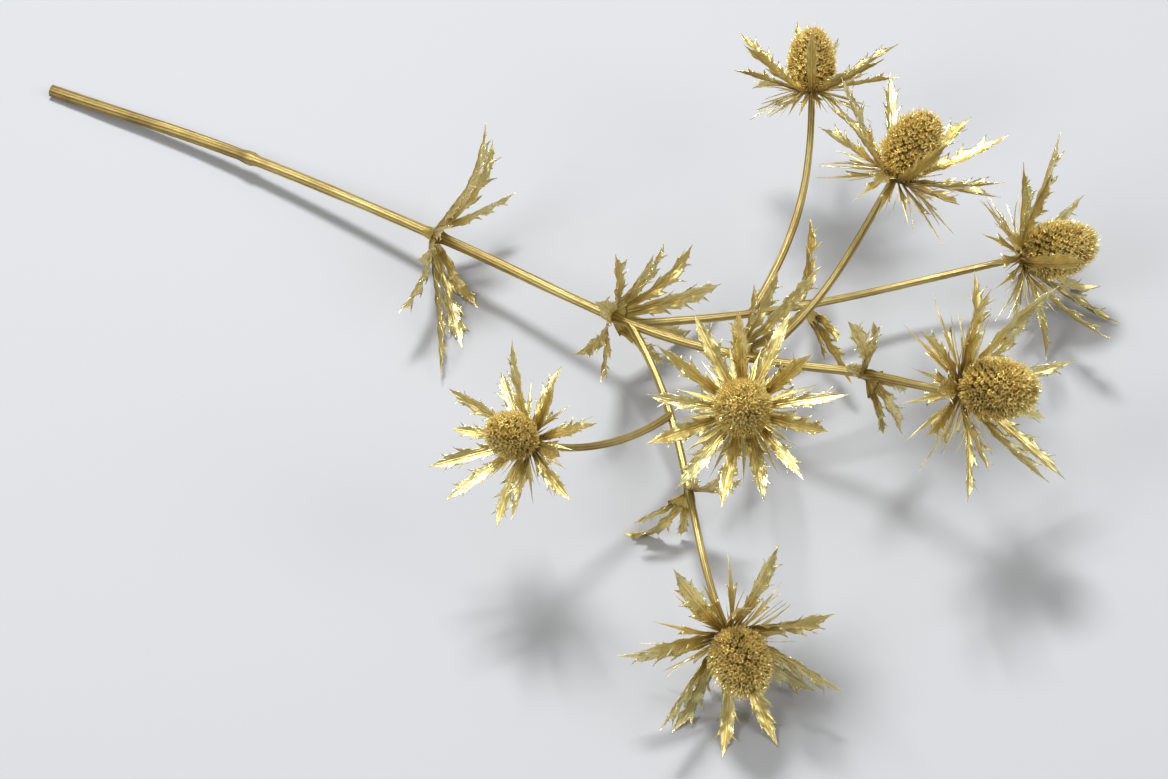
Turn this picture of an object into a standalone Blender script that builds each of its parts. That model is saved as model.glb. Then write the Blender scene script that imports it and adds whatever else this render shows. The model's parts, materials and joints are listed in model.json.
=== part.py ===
"""One cut stem of sea holly, dried and painted gold, lying on a flat surface.

The stem runs along +X from its cut end and forks into branches. Each branch ends in a head: an egg-shaped
cone of small florets over a collar of toothed, spiny bracts. Palmate leaves clasp the stem at its nodes.
Metres, +Z up.
"""

import math
import random
from collections import namedtuple

import bmesh
import bpy
from mathutils import Matrix, Vector

MM = 0.001
GAP = 0.3 * MM
SEED = 25

# The cut end's place in the part's frame, whose origin is under the middle of the plant's box.
CUT_END_X = -294.8 * MM
CUT_END_Y = 2.9 * MM

# The main stem's centreline in millimetres: along X from the cut end, across, and above the surface.
STEM_LINE = (
    (0, 0, 2.85),
    (112, 8, 11),
    (236, 5, 24),
    (350, -4, 39),
    (418, -1, 52),
    (474, 8, 67),
    (516, 7, 84),
    (530, 8, 92),
)
STEM_RADIUS_CUT = 3.1 * MM
STEM_RADIUS_TOP = 2.1 * MM
STEM_SIDES = 8
BRANCH_RADIUS_FORK = 2.1 * MM
BRANCH_RADIUS_TOP = 1.7 * MM
BRANCH_SIDES = 6
NODE_SWELLING = 0.28
NODE_REACH = 7 * MM
LEAF_SCAR = 118 * MM

# A branch leaves its parent this far along it, and its head's base is at this place, in millimetres.
Head = namedtuple("Head", "name parent fork base azimuth elevation size roll")
HEADS = (
    Head("head_1", "stem", None, (530, 8, 92), 4, 30, 1.00, 0),
    Head("head_2", "stem", 354, (500, 132, 36), 34, 16, 0.94, 9),
    Head("head_3", "stem", 354, (484, -140, 34.5), -44, 14, 0.96, 15),
    Head("head_4", "stem", 426, (452, 80, 128), 72, 52, 0.90, 4),
    Head("head_5", "stem", 426, (458, -82, 132), -66, 58, 0.88, 20),
    Head("head_6", "head_2", 62, (376, 138, 84), 120, 44, 0.78, 11),
    Head("head_7", "head_3", 58, (362, -122, 88), -116, 52, 0.74, 2),
)

# The cone of florets, for a head of size 1.
CONE_RADIUS = 15.6 * MM
CONE_TOP = 28.5 * MM
CONE_FOOT = 13.4 * MM
CONE_FOOT_ROUND = 15.0 * MM
CONE_VALLEYS = 98
FLORET_HEIGHT = 2.7 * MM

# The collar that the bracts grow from: radius and height of each ring of its body.
COLLAR_RINGS = ((3.2, 0.0), (7.0, 1.1), (8.3, 2.4), (8.9, 4.6))
COLLAR_TOP = COLLAR_RINGS[-1][1] * MM
BRACTS = 13
BRACT_FACE_SHARE = 0.70
BRACT_LENGTH = 59 * MM
BRACT_HALF_WIDTH = 3.9 * MM
SPUR_LENGTH = 35 * MM
SPUR_HALF_WIDTH = 1.8 * MM

# Leaves: the node's distance along its branch, the lobes of each leaf, their length and rise, and each
# leaf's turn about the branch.
LeafNode = namedtuple("LeafNode", "name parent place lobes length rise turns")
LEAF_NODES = (
    LeafNode("lower_leaf", "stem", 234, 5, 62, 30, (60, 201)),
    LeafNode("fork_leaf", "stem", 345, 5, 60, 24, (122, -22)),
    LeafNode("upper_leaf", "stem", 417, 5, 50, 20, (12, 186)),
    LeafNode("crown_leaf", "stem", 487, 3, 36, 14, (95, 275)),
    LeafNode("branch_leaf_2", "head_2", 92, 3, 34, 16, (20, 200)),
    LeafNode("branch_leaf_3", "head_3", 104, 3, 34, 16, (60, 230)),
)
LEAF_COVER = math.radians(140)
LEAF_RIM = 8.5 * MM
LEAF_HALF_WIDTH = 4.6 * MM

BLADE_THICKNESS = 0.8 * MM
BLADE_STEPS = 30
PRESSED_THICKNESS = 0.7 * MM
PRESSED_LINE = 0.0
FLOOR_REACH = 6 * MM
FLOOR_LEAST = 0.35

Blade = namedtuple("Blade", "length half_width rise bend sway twist fold teeth")
Tooth = namedtuple("Tooth", "notch core left right lean")


class Line:
    """A smooth centreline, with a radius at each end."""

    def __init__(self, points, start_radius, end_radius):
        self.points = points
        self.radii = (start_radius, end_radius)
        self.reach = [0.0]
        for before, after in zip(points, points[1:]):
            self.reach.append(self.reach[-1] + (after - before).length)
        self.length = self.reach[-1]

    def at(self, distance):
        """The point and the direction at this distance from the start."""
        distance = min(max(distance, 0.0), self.length)
        for k in range(1, len(self.points)):
            if distance <= self.reach[k]:
                break
        span = self.reach[k] - self.reach[k - 1]
        before, after = self.points[k - 1], self.points[k]
        return before.lerp(after, (distance - self.reach[k - 1]) / span), (after - before).normalized()

    def radius(self, distance):
        return self.radii[0] + (self.radii[1] - self.radii[0]) * distance / self.length


def place(point):
    """A point given in millimetres from the cut end's place on the surface."""
    return Vector((CUT_END_X, CUT_END_Y, 0)) + Vector(point) * MM


def curve_through(points, steps=10):
    """A smooth curve through the points."""
    padded = [points[0] * 2 - points[1], *points, points[-1] * 2 - points[-2]]
    curve = []
    for a, b, c, d in zip(padded, padded[1:], padded[2:], padded[3:]):
        for k in range(steps):
            t = k / steps
            square = (2 * a - 5 * b + 4 * c - d) * t * t
            cube = (3 * b - a - 3 * c + d) * t**3
            curve.append(0.5 * (2 * b + (c - a) * t + square + cube))
    curve.append(points[-1].copy())
    return curve


def bow(start, start_way, end, end_way, steps=40):
    """A curve that leaves start and reaches end in the given directions."""
    pull = (end - start).length * 0.40
    b, c = start + start_way * pull, end - end_way * pull
    curve = []
    for k in range(steps + 1):
        t = k / steps
        s = 1 - t
        curve.append(start * s**3 + b * (3 * s * s * t) + c * (3 * s * t * t) + end * t**3)
    return curve


def head_matrix(head):
    """The head's own frame: origin at its base, +Z along its axis."""
    azimuth, elevation = math.radians(head.azimuth), math.radians(head.elevation)
    turn = Matrix.Rotation(azimuth, 4, "Z") @ Matrix.Rotation(math.pi / 2 - elevation, 4, "Y")
    return Matrix.Translation(place(head.base)) @ turn @ Matrix.Rotation(math.radians(head.roll), 4, "Z")


def head_axis(head):
    return (head_matrix(head).to_3x3() @ Vector((0, 0, 1))).normalized()


def stem_lines():
    """The centrelines of the main stem and of each branch, by name."""
    points = curve_through([place(p) for p in STEM_LINE])
    lines = {"stem": Line(points, STEM_RADIUS_CUT, STEM_RADIUS_TOP)}
    for head in HEADS:
        if head.fork is None:
            continue
        start, way = lines[head.parent].at(head.fork * MM)
        end = place(head.base)
        out = (end - start).normalized()
        curve = bow(start, (way * 0.35 + out).normalized(), end, head_axis(head))
        lines[head.name] = Line(curve, BRANCH_RADIUS_FORK, BRANCH_RADIUS_TOP)
    return lines


def material(name, colour, roughness, metallic):
    made = bpy.data.materials.new(name)
    made.use_nodes = True
    shader = made.node_tree.nodes["Principled BSDF"]
    shader.inputs["Base Color"].default_value = (*colour, 1)
    shader.inputs["Roughness"].default_value = roughness
    shader.inputs["Metallic"].default_value = metallic
    made.diffuse_color = (*colour, 1)
    return made


def add_object(name, bm, finish, frame=None):
    """An object with this mesh, which is in the part's frame, and with its origin at the given frame."""
    bmesh.ops.recalc_face_normals(bm, faces=bm.faces)
    mesh = bpy.data.meshes.new(name)
    bm.to_mesh(mesh)
    bm.free()
    made = bpy.data.objects.new(name, mesh)
    bpy.context.scene.collection.objects.link(made)
    if frame is not None:
        mesh.transform(frame.inverted())
        made.matrix_world = frame
    mesh.materials.append(finish)
    return made


def blade_frames(root, out, up, blade):
    """Point, direction, side and normal at even steps along a blade, which bends to lie on the surface."""
    across = up.cross(out).normalized()
    point = root.copy()
    step = blade.length / BLADE_STEPS
    frames = []
    for k in range(BLADE_STEPS + 1):
        share = k / BLADE_STEPS
        rise = blade.rise + blade.bend * share
        sway = blade.sway * share
        flat = out * math.cos(sway) + across * math.sin(sway)
        way = flat * math.cos(rise) + up * math.sin(rise)
        side = across * math.cos(sway) - out * math.sin(sway)
        free = min(max((point.z - PRESSED_LINE) / FLOOR_REACH, 0.0), 1.0)
        if way.z < 0:
            way.z *= max(free, FLOOR_LEAST) if free > 0 else 0.0
            way.normalize()
        side = (side - way * side.dot(way)).normalized()
        side = Matrix.Rotation(blade.twist * share * free, 3, way) @ side
        side.z *= free
        side = (side - way * side.dot(way)).normalized()
        frames.append((point.copy(), way, side, way.cross(side)))
        point = point + way * step
        point.z = max(point.z, PRESSED_LINE)
    return frames


def blade_point(frames, blade, share, offset, lift):
    """The point at a share of the blade's length, this far to its side, and lifted along its normal."""
    k = min(max(share, 0.0), 1.0) * BLADE_STEPS
    low = min(int(k), BLADE_STEPS - 1)
    here, there = frames[low], frames[low + 1]
    point = here[0].lerp(there[0], k - low)
    side = here[2].lerp(there[2], k - low)
    normal = here[3].lerp(there[3], k - low)
    return point + side * offset + normal * (lift + blade.fold * abs(offset))


def grow_blade(bm, host, root, out, up, blade):
    """Grows a toothed blade out of four corners: lower left, lower right, upper right and upper left."""
    frames = blade_frames(root, out, up, blade)
    half = BLADE_THICKNESS / 2

    def pair(share, offset):
        points = [blade_point(frames, blade, share, offset, lift) for lift in (-half, half)]
        low, high = sorted(points, key=lambda p: p.z)
        if low.z < 0:
            low.z = 0.0
            high.z = max(high.z, PRESSED_THICKNESS)
        return [bm.verts.new(p) for p in points]

    def spine(share, offset):
        point = blade_point(frames, blade, share, offset, 0)
        point.z = max(point.z, PRESSED_LINE)
        return bm.verts.new(point)

    left, right = [host[0], host[3]], [host[1], host[2]]
    middle = None
    for tooth in blade.teeth:
        next_left = pair(tooth.notch, -tooth.core)
        next_right = pair(tooth.notch, tooth.core)
        next_middle = pair(tooth.notch, 0)
        left_tip = spine(tooth.notch + tooth.lean, -tooth.left)
        right_tip = spine(tooth.notch + tooth.lean, tooth.right)
        for face in (0, 1):
            bm.faces.new((left[face], next_left[face], next_middle[face]))
            bm.faces.new((right[face], next_middle[face], next_right[face]))
            if middle is None:
                bm.faces.new((left[face], next_middle[face], right[face]))
            else:
                bm.faces.new((left[face], next_middle[face], middle[face]))
                bm.faces.new((right[face], middle[face], next_middle[face]))
            bm.faces.new((left[face], left_tip, next_left[face]))
            bm.faces.new((right[face], next_right[face], right_tip))
        for before, tip, after in ((left, left_tip, next_left), (right, right_tip, next_right)):
            bm.faces.new((before[0], before[1], tip))
            bm.faces.new((after[1], after[0], tip))
        left, right, middle = next_left, next_right, next_middle
    tip = spine(1.0, 0)
    for face in (0, 1):
        bm.faces.new((left[face], tip, middle[face]))
        bm.faces.new((right[face], middle[face], tip))
    bm.faces.new((left[0], left[1], tip))
    bm.faces.new((right[1], right[0], tip))


def bract_blade(draw, size, tall):
    """One of the collar's large bracts: tall ones rise more and are longer."""
    length = BRACT_LENGTH * size * (draw.uniform(0.93, 1.07) if tall else draw.uniform(0.76, 0.92))
    width = BRACT_HALF_WIDTH * size * draw.uniform(0.85, 1.12)
    teeth = []
    for notch, core, reach in ((0.37, 0.76, 1.12), (0.57, 1.0, 1.46), (0.76, 0.80, 1.16)):
        shift = draw.uniform(-0.025, 0.025)
        left, right = width * reach * draw.uniform(0.85, 1.15), width * reach * draw.uniform(0.85, 1.15)
        teeth.append(Tooth(notch + shift, width * core, left, right, draw.uniform(0.03, 0.07)))
    rise = math.radians(draw.uniform(24, 38) if tall else draw.uniform(6, 20))
    bend = math.radians(draw.uniform(-12, 30) if tall else draw.uniform(-26, 12))
    sway, twist = math.radians(draw.uniform(-8, 8)), math.radians(draw.uniform(-30, 30))
    return Blade(length, width, rise, bend, sway, twist, 0.30, teeth)


def spur_blade(draw, size):
    """One of the narrow spiny bracts under the collar."""
    length = SPUR_LENGTH * size * draw.uniform(0.75, 1.2)
    width = SPUR_HALF_WIDTH * size
    reach = width * draw.uniform(1.7, 2.3)
    tooth = Tooth(draw.uniform(0.42, 0.55), width * 0.7, reach, reach, 0.08)
    rise, bend = math.radians(draw.uniform(-24, -12)), math.radians(draw.uniform(-26, 6))
    sway = math.radians(draw.uniform(-8, 8))
    return Blade(length, width, rise, bend, sway, 0.0, 0.2, [tooth])


def build_collar(head, finish):
    """The bracts of a head, grown from the rim of one small drum."""
    draw = random.Random(SEED * 100 + HEADS.index(head))
    frame = head_matrix(head)
    turn = frame.to_3x3()
    step = 2 * math.pi / BRACTS
    half_face = step * BRACT_FACE_SHARE / 2
    angles = []
    for i in range(BRACTS):
        angles += [i * step - half_face, i * step + half_face]
    bm = bmesh.new()
    rings = []
    for radius, height in COLLAR_RINGS:
        corners = [Vector((math.cos(a) * radius, math.sin(a) * radius, height)) for a in angles]
        rings.append([bm.verts.new(frame @ (corner * MM * head.size)) for corner in corners])
    bm.faces.new(rings[0])
    bm.faces.new(rings[-1])
    columns = len(angles)
    up = turn @ Vector((0, 0, 1))
    for c in range(columns):
        after = (c + 1) % columns
        for tier in range(len(rings) - 1):
            lower, upper = rings[tier], rings[tier + 1]
            host = (lower[c], lower[after], upper[after], upper[c])
            bract, spur = c % 2 == 0, c % 2 == 1
            if not (tier == 2 and bract or tier == 1 and spur):
                bm.faces.new(host)
                continue
            angle = c // 2 * step + (step / 2 if spur else 0)
            out = turn @ Vector((math.cos(angle), math.sin(angle), 0))
            root = sum((v.co for v in host), Vector()) / 4
            blade = spur_blade(draw, head.size) if spur else bract_blade(draw, head.size, c % 4 == 0)
            grow_blade(bm, host, root, out, up, blade)
    add_object(head.name + "_bracts", bm, finish, frame)


def cone_radius(height):
    """The cone's radius at a height above its widest place, for a head of size 1."""
    reach = CONE_TOP if height > 0 else CONE_FOOT_ROUND
    return CONE_RADIUS * math.sqrt(max(1 - (height / reach) ** 2, 0.0))


def cone_spiral(count, slices=400):
    """Places spread evenly over the cone in the spiral that florets grow in: height and angle."""
    heights = [-CONE_FOOT + (CONE_TOP + CONE_FOOT) * k / slices for k in range(slices + 1)]
    area = [0.0]
    for low, high in zip(heights, heights[1:]):
        slant = math.hypot(high - low, cone_radius(high) - cone_radius(low))
        area.append(area[-1] + slant * (cone_radius(low) + cone_radius(high)))
    golden = math.pi * (3 - math.sqrt(5))
    places, k = [], 1
    for i in range(count):
        wanted = area[-1] * (i + 0.5) / count
        while area[k] < wanted:
            k += 1
        share = (wanted - area[k - 1]) / (area[k] - area[k - 1])
        places.append((heights[k - 1] + (heights[k] - heights[k - 1]) * share, i * golden))
    return places


def build_cone(head, finish):
    """The cone: a core whose every facet is raised to a point, as the florets stand out of it."""
    frame = head_matrix(head)
    centre = Vector((0, 0, COLLAR_TOP + CONE_FOOT)) * head.size + Vector((0, 0, GAP))
    core = 1 - FLORET_HEIGHT / CONE_RADIUS
    bm = bmesh.new()
    for height, angle in cone_spiral(CONE_VALLEYS):
        radius = cone_radius(height) * core
        bm.verts.new(Vector((radius * math.cos(angle), radius * math.sin(angle), height * core)))
    foot = cone_radius(-CONE_FOOT) * core
    for k in range(12):
        angle = 2 * math.pi * k / 12
        bm.verts.new(Vector((foot * math.cos(angle), foot * math.sin(angle), -CONE_FOOT)))
    bmesh.ops.convex_hull(bm, input=bm.verts)
    bm.normal_update()
    florets = [f for f in bm.faces if f.normal.z > -0.75]
    poked = bmesh.ops.poke(bm, faces=florets)
    bm.normal_update()
    for vert in poked["verts"]:
        away = Vector((vert.co.x, vert.co.y, vert.co.z * 0.55)).normalized()
        vert.co += away * FLORET_HEIGHT
        vert.co.z = max(vert.co.z, -CONE_FOOT)
    bmesh.ops.scale(bm, vec=Vector((head.size,) * 3), verts=bm.verts)
    bmesh.ops.translate(bm, vec=centre, verts=bm.verts)
    bmesh.ops.transform(bm, matrix=frame, verts=bm.verts)
    add_object(head.name + "_cone", bm, finish, frame)


def lobe_blade(draw, length, share):
    """One lobe of a leaf: share is 0 for the middle lobe and 1 for the outermost."""
    length = length * MM * (1 - 0.42 * share) * draw.uniform(0.9, 1.08)
    width = LEAF_HALF_WIDTH * (1 - 0.25 * share) * draw.uniform(0.9, 1.1)
    width *= min(length / (50 * MM), 1) ** 0.5
    teeth = []
    for notch, core, reach in ((0.34, 0.90, 1.20), (0.56, 1.0, 1.36), (0.77, 0.76, 1.12)):
        left, right = width * reach * draw.uniform(0.9, 1.15), width * reach * draw.uniform(0.9, 1.15)
        teeth.append(Tooth(notch, width * core, left, right, draw.uniform(0.03, 0.06)))
    bend = math.radians(draw.uniform(-38, 8))
    sway, twist = math.radians(draw.uniform(-7, 7)), math.radians(draw.uniform(-26, 26))
    return Blade(length, width, 0.0, bend, sway, twist, 0.28, teeth)


def build_leaves(node, lines, finish):
    """The palmate leaves at one node: each is a plate that clasps the stem, with lobes on its edge."""
    line = lines[node.parent]
    point, way = line.at(node.place * MM)
    swollen = line.radius(node.place * MM) * (1 + NODE_SWELLING)
    sideways = Vector((0, 0, 1)).cross(way).normalized()
    outwards = way.cross(sideways)
    inner, outer = swollen + GAP * 1.6, swollen + LEAF_RIM
    for index, turn in enumerate(node.turns):
        draw = random.Random(SEED * 1000 + LEAF_NODES.index(node) * 10 + index)
        middle = math.radians(turn)
        cover = LEAF_COVER * (1 if node.lobes > 3 else 0.62)
        edges = [middle + cover * (k / node.lobes - 0.5) for k in range(node.lobes + 1)]
        rays = [sideways * math.cos(a) + outwards * math.sin(a) for a in edges]
        thick = way * BLADE_THICKNESS / 2
        bm = bmesh.new()
        lift = way * (outer - inner) * math.tan(math.radians(node.rise) * 0.8)
        corners = ((inner, -thick), (outer, lift - thick), (outer, lift + thick), (inner, thick))
        rows = []
        for radius, level in corners:
            rows.append([bm.verts.new(point + ray * radius + level) for ray in rays])
        for k in range(node.lobes):
            for a, b in ((0, 1), (2, 3), (3, 0)):
                bm.faces.new((rows[a][k], rows[a][k + 1], rows[b][k + 1], rows[b][k]))
            host = (rows[1][k], rows[1][k + 1], rows[2][k + 1], rows[2][k])
            share = abs(k - (node.lobes - 1) / 2) / max((node.lobes - 1) / 2, 1)
            blade = lobe_blade(draw, node.length, share)
            blade = blade._replace(rise=math.radians(node.rise + draw.uniform(-8, 10)))
            ray = (rays[k] + rays[k + 1]).normalized()
            root = sum((v.co for v in host), Vector()) / 4
            grow_blade(bm, host, root, ray, way, blade)
        for k in (0, node.lobes):
            bm.faces.new([row[k] for row in rows])
        add_object(f"{node.name}_{index + 1}", bm, finish, Matrix.Translation(point))


def tube(name, line, sides, spacing, nodes, finish, end_gap):
    """A tapering tube along a line, swollen at its nodes, its lower side never under the surface."""
    bm = bmesh.new()
    length = line.length - end_gap
    count = max(int(length / spacing), 3)
    stops = {k * length / count for k in range(count + 1)}
    for n in nodes:
        stops |= {n - NODE_REACH, n, n + NODE_REACH}
    rings = []
    for stop in sorted(stops):
        point, way = line.at(stop)
        side = way.cross(Vector((0, 0, 1))).normalized()
        rise = side.cross(way)
        near = max([1 - abs(stop - n) / NODE_REACH for n in nodes] + [0.0])
        radius = line.radius(stop) * (1 + NODE_SWELLING * max(near, 0.0))
        ring = []
        for k in range(sides):
            angle = 2 * math.pi * (k + 0.5) / sides
            corner = point + (side * math.cos(angle) + rise * math.sin(angle)) * radius
            corner.z = max(corner.z, 0.0)
            ring.append(bm.verts.new(corner))
        rings.append(ring)
    for lower, upper in zip(rings, rings[1:]):
        for k in range(sides):
            after = (k + 1) % sides
            bm.faces.new((lower[k], lower[after], upper[after], upper[k]))
    bm.faces.new(rings[0])
    bm.faces.new(rings[-1])
    return add_object(name, bm, finish)


def build_stem(lines, finish):
    """The main stem and its branches, which grew as one piece."""
    nodes = [n.place * MM for n in LEAF_NODES if n.parent == "stem"] + [LEAF_SCAR]
    whole = tube("stem", lines["stem"], STEM_SIDES, 34 * MM, nodes, finish, GAP)
    group = bpy.data.collections.new("branches")
    bpy.context.scene.collection.children.link(group)
    for head in HEADS:
        if head.fork is None:
            continue
        nodes = [n.place * MM for n in LEAF_NODES if n.parent == head.name]
        branch = tube(head.name + "_branch", lines[head.name], BRANCH_SIDES, 20 * MM, nodes, finish, GAP)
        bpy.context.scene.collection.objects.unlink(branch)
        group.objects.link(branch)
    union = whole.modifiers.new("grown together", "BOOLEAN")
    union.operation = "UNION"
    union.solver = "EXACT"
    union.operand_type = "COLLECTION"
    union.collection = group
    bpy.context.view_layer.objects.active = whole
    bpy.ops.object.modifier_apply(modifier=union.name)
    for branch in list(group.objects):
        bpy.data.objects.remove(branch)
    bpy.data.collections.remove(group)


def main():
    for old in list(bpy.data.objects):
        bpy.data.objects.remove(old)
    bract_gold = material("bract_gold", (0.78, 0.68, 0.36), 0.34, 0.9)
    cone_gold = material("cone_gold", (0.72, 0.54, 0.22), 0.45, 0.8)
    stem_gold = material("stem_gold", (0.64, 0.52, 0.26), 0.42, 0.8)
    lines = stem_lines()
    build_stem(lines, stem_gold)
    for node in LEAF_NODES:
        build_leaves(node, lines, bract_gold)
    for head in HEADS:
        build_collar(head, bract_gold)
        build_cone(head, cone_gold)


main()
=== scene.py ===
"""The sea holly stem as it looks: ribbed stems, toothed bracts and cones of open florets, painted gold.

The layout is the same as in the part's source: the same named values and the same seeded draws, so that
every blade here lies where its solid lies. Metres, +Z up.
"""

import json
import math
import random
from collections import namedtuple

import bpy
import numpy as np
from mathutils import Matrix, Vector

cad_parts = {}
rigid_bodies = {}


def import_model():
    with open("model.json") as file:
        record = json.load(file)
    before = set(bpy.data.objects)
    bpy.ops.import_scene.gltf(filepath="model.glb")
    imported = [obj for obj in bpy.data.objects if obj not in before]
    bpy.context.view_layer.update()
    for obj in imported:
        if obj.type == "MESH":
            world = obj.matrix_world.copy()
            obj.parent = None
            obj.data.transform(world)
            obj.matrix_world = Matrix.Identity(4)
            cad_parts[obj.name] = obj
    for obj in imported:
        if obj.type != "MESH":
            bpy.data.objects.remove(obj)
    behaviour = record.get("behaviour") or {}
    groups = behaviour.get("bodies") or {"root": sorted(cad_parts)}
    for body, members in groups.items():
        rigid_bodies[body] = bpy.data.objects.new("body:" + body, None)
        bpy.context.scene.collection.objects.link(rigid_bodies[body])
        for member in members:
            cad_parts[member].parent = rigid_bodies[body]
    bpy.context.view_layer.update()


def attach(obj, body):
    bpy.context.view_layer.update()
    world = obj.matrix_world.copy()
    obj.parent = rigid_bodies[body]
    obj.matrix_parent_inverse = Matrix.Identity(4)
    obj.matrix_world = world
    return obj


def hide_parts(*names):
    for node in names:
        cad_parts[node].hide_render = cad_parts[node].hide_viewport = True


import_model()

# The layout, as in the part's source.
MM = 0.001
GAP = 0.3 * MM
SEED = 25

# The cut end's place in the part's frame, whose origin is under the middle of the plant's box.
CUT_END_X = -294.8 * MM
CUT_END_Y = 2.9 * MM

# The main stem's centreline in millimetres: along X from the cut end, across, and above the surface.
STEM_LINE = (
    (0, 0, 2.85),
    (112, 8, 11),
    (236, 5, 24),
    (350, -4, 39),
    (418, -1, 52),
    (474, 8, 67),
    (516, 7, 84),
    (530, 8, 92),
)
STEM_RADIUS_CUT = 3.1 * MM
STEM_RADIUS_TOP = 2.1 * MM
BRANCH_RADIUS_FORK = 2.1 * MM
BRANCH_RADIUS_TOP = 1.7 * MM
BRANCH_PULL = 0.40
FORK_LEAN = 0.35
NODE_SWELLING = 0.28
NODE_REACH = 7 * MM
LEAF_SCAR = 118 * MM

# A branch leaves its parent this far along it, and its head's base is at this place, in millimetres.
Head = namedtuple("Head", "name parent fork base azimuth elevation size roll")
HEADS = (
    Head("head_1", "stem", None, (530, 8, 92), 4, 30, 1.00, 0),
    Head("head_2", "stem", 354, (500, 132, 36), 34, 16, 0.94, 9),
    Head("head_3", "stem", 354, (484, -140, 34.5), -44, 14, 0.96, 15),
    Head("head_4", "stem", 426, (452, 80, 128), 72, 52, 0.90, 4),
    Head("head_5", "stem", 426, (458, -82, 132), -66, 58, 0.88, 20),
    Head("head_6", "head_2", 62, (376, 138, 84), 120, 44, 0.78, 11),
    Head("head_7", "head_3", 58, (362, -122, 88), -116, 52, 0.74, 2),
)

# The cone of florets, for a head of size 1.
CONE_RADIUS = 15.6 * MM
CONE_TOP = 28.5 * MM
CONE_FOOT = 13.4 * MM
CONE_FOOT_ROUND = 15.0 * MM
FLORET_HEIGHT = 2.7 * MM

# The collar that the bracts grow from: radius and height of each ring of its body.
COLLAR_RINGS = ((3.2, 0.0), (7.0, 1.1), (8.3, 2.4), (8.9, 4.6))
COLLAR_TOP = COLLAR_RINGS[-1][1] * MM
BRACTS = 13
BRACT_STEP = 2 * math.pi / BRACTS
BRACT_FACE_SHARE = 0.70
BRACT_FACE_HALF = BRACT_STEP * BRACT_FACE_SHARE / 2
BRACT_LENGTH = 59 * MM
BRACT_HALF_WIDTH = 3.9 * MM
SPUR_LENGTH = 35 * MM
SPUR_HALF_WIDTH = 1.8 * MM

# Leaves: the node's distance along its branch, the lobes of each leaf, their length and rise, and each
# leaf's turn about the branch.
LeafNode = namedtuple("LeafNode", "name parent place lobes length rise turns")
LEAF_NODES = (
    LeafNode("lower_leaf", "stem", 234, 5, 62, 30, (60, 201)),
    LeafNode("fork_leaf", "stem", 345, 5, 60, 24, (122, -22)),
    LeafNode("upper_leaf", "stem", 417, 5, 50, 20, (12, 186)),
    LeafNode("crown_leaf", "stem", 487, 3, 36, 14, (95, 275)),
    LeafNode("branch_leaf_2", "head_2", 92, 3, 34, 16, (20, 200)),
    LeafNode("branch_leaf_3", "head_3", 104, 3, 34, 16, (60, 230)),
)
LEAF_COVER = math.radians(140)
SMALL_LEAF_COVER = 0.62
LEAF_RIM = 8.5 * MM
LEAF_HALF_WIDTH = 4.6 * MM
LOBE_USUAL_LENGTH = 50 * MM

# Blades. They bend to lie on the surface, from FLOOR_REACH above it down.
BLADE_STEPS = 30
FLOOR_REACH = 6 * MM
FLOOR_LEAST = 0.35
Blade = namedtuple("Blade", "length half_width rise bend sway twist fold teeth")
Tooth = namedtuple("Tooth", "notch core left right lean")

# Teeth: the notch after each, as a share of the length, then the half widths there and at the tooth's tip.
BRACT_TEETH = ((0.37, 0.76, 1.12), (0.57, 1.0, 1.46), (0.76, 0.80, 1.16))
LOBE_TEETH = ((0.34, 0.90, 1.20), (0.56, 1.0, 1.36), (0.77, 0.76, 1.12))

# One cycle of a wave, and the places of a blade's points, from 0 at the midrib to 1 at the edge.
CYCLE = 6.28
BROAD = np.array([0.0, 0.09, 0.20, 0.34, 0.48, 0.62, 0.76, 0.90, 1.0])
NARROW = np.array([0.0, 0.25, 0.55, 0.80, 1.0])
THIN = np.array([0.0, 0.6, 1.0])

# How a blade is made: its points from midrib to edge, its steps out to a tooth and back, its thickness,
# whether spines stand on its edge, how strong its waves are, and where it starts before its root.
Style = namedtuple("Style", "columns spans thickness spiny waves start")
BRACT_STYLE = Style(BROAD, (8, 3), 0.62 * MM, True, 1.0, -0.03)
LOBE_STYLE = Style(BROAD, (8, 3), 0.62 * MM, True, 1.4, -0.05)
SPUR_STYLE = Style(NARROW, (4, 2), 0.5 * MM, False, 0.4, -0.03)
NEEDLE_STYLE = Style(THIN, (4, 2), 0.5 * MM, False, 0.0, -0.1)

# Spines on an edge: between two teeth, then on the teeth and near the tip, in shares of that length.
SPINE_LENGTH = 0.45 * MM
SPINE_FOOT = (0.35, 0.25)
SPINE_LEAN = 0.018
TOOTH_SPINE = 1.5
TOOTH_SPINE_LEAN = 0.020
TIP_SPINE = 0.6
TIP_SPINE_LEAN = 8

# Relief of a blade: midrib and channel, veins, pleats, ruffles as wavelength and weight, and the edge.
RIDGE_WIDTH = 0.26 * MM
RIDGE_HEIGHT = 0.42
CHANNEL_WIDTH = 0.85 * MM
CHANNEL_DEPTH = 0.34
VEIN_WIDTH = 0.34 * MM
VEIN_HEIGHT = 0.20 * MM
PLEAT_HEIGHT = 0.16 * MM
PLEAT_SHARE = 0.36
RUFFLE_HEIGHT = 0.34 * MM
RUFFLES = ((16, 0.5), (9, 0.4), (5, 0.28), (2.6, 0.16))
EDGE_WAVE_HEIGHT = 0.70 * MM
EDGE_WAVE_WIDTH = 3.5 * MM
RIB_HEIGHT = 0.35 * MM
RIB_WIDTH = 0.5 * MM
RIB_FULL_WIDTH = 3 * MM
LEAST_HEIGHT = 0.25 * MM

# The drum that the bracts grow from: radius and height of each ring, in millimetres.
DRUM_RINGS = ((2.0, -0.1), (3.2, 0.0), (5.2, 0.7), (6.9, 1.5), (8.1, 2.6), (8.7, 3.7))
DRUM_RINGS += ((8.6, 4.4), (7.8, 4.6), (0.1, 4.6))
DRUM_POINTS = 8
NEEDLES_PER_BRACT = 3
NEEDLE_ROOT_RADIUS = 7.9

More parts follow.
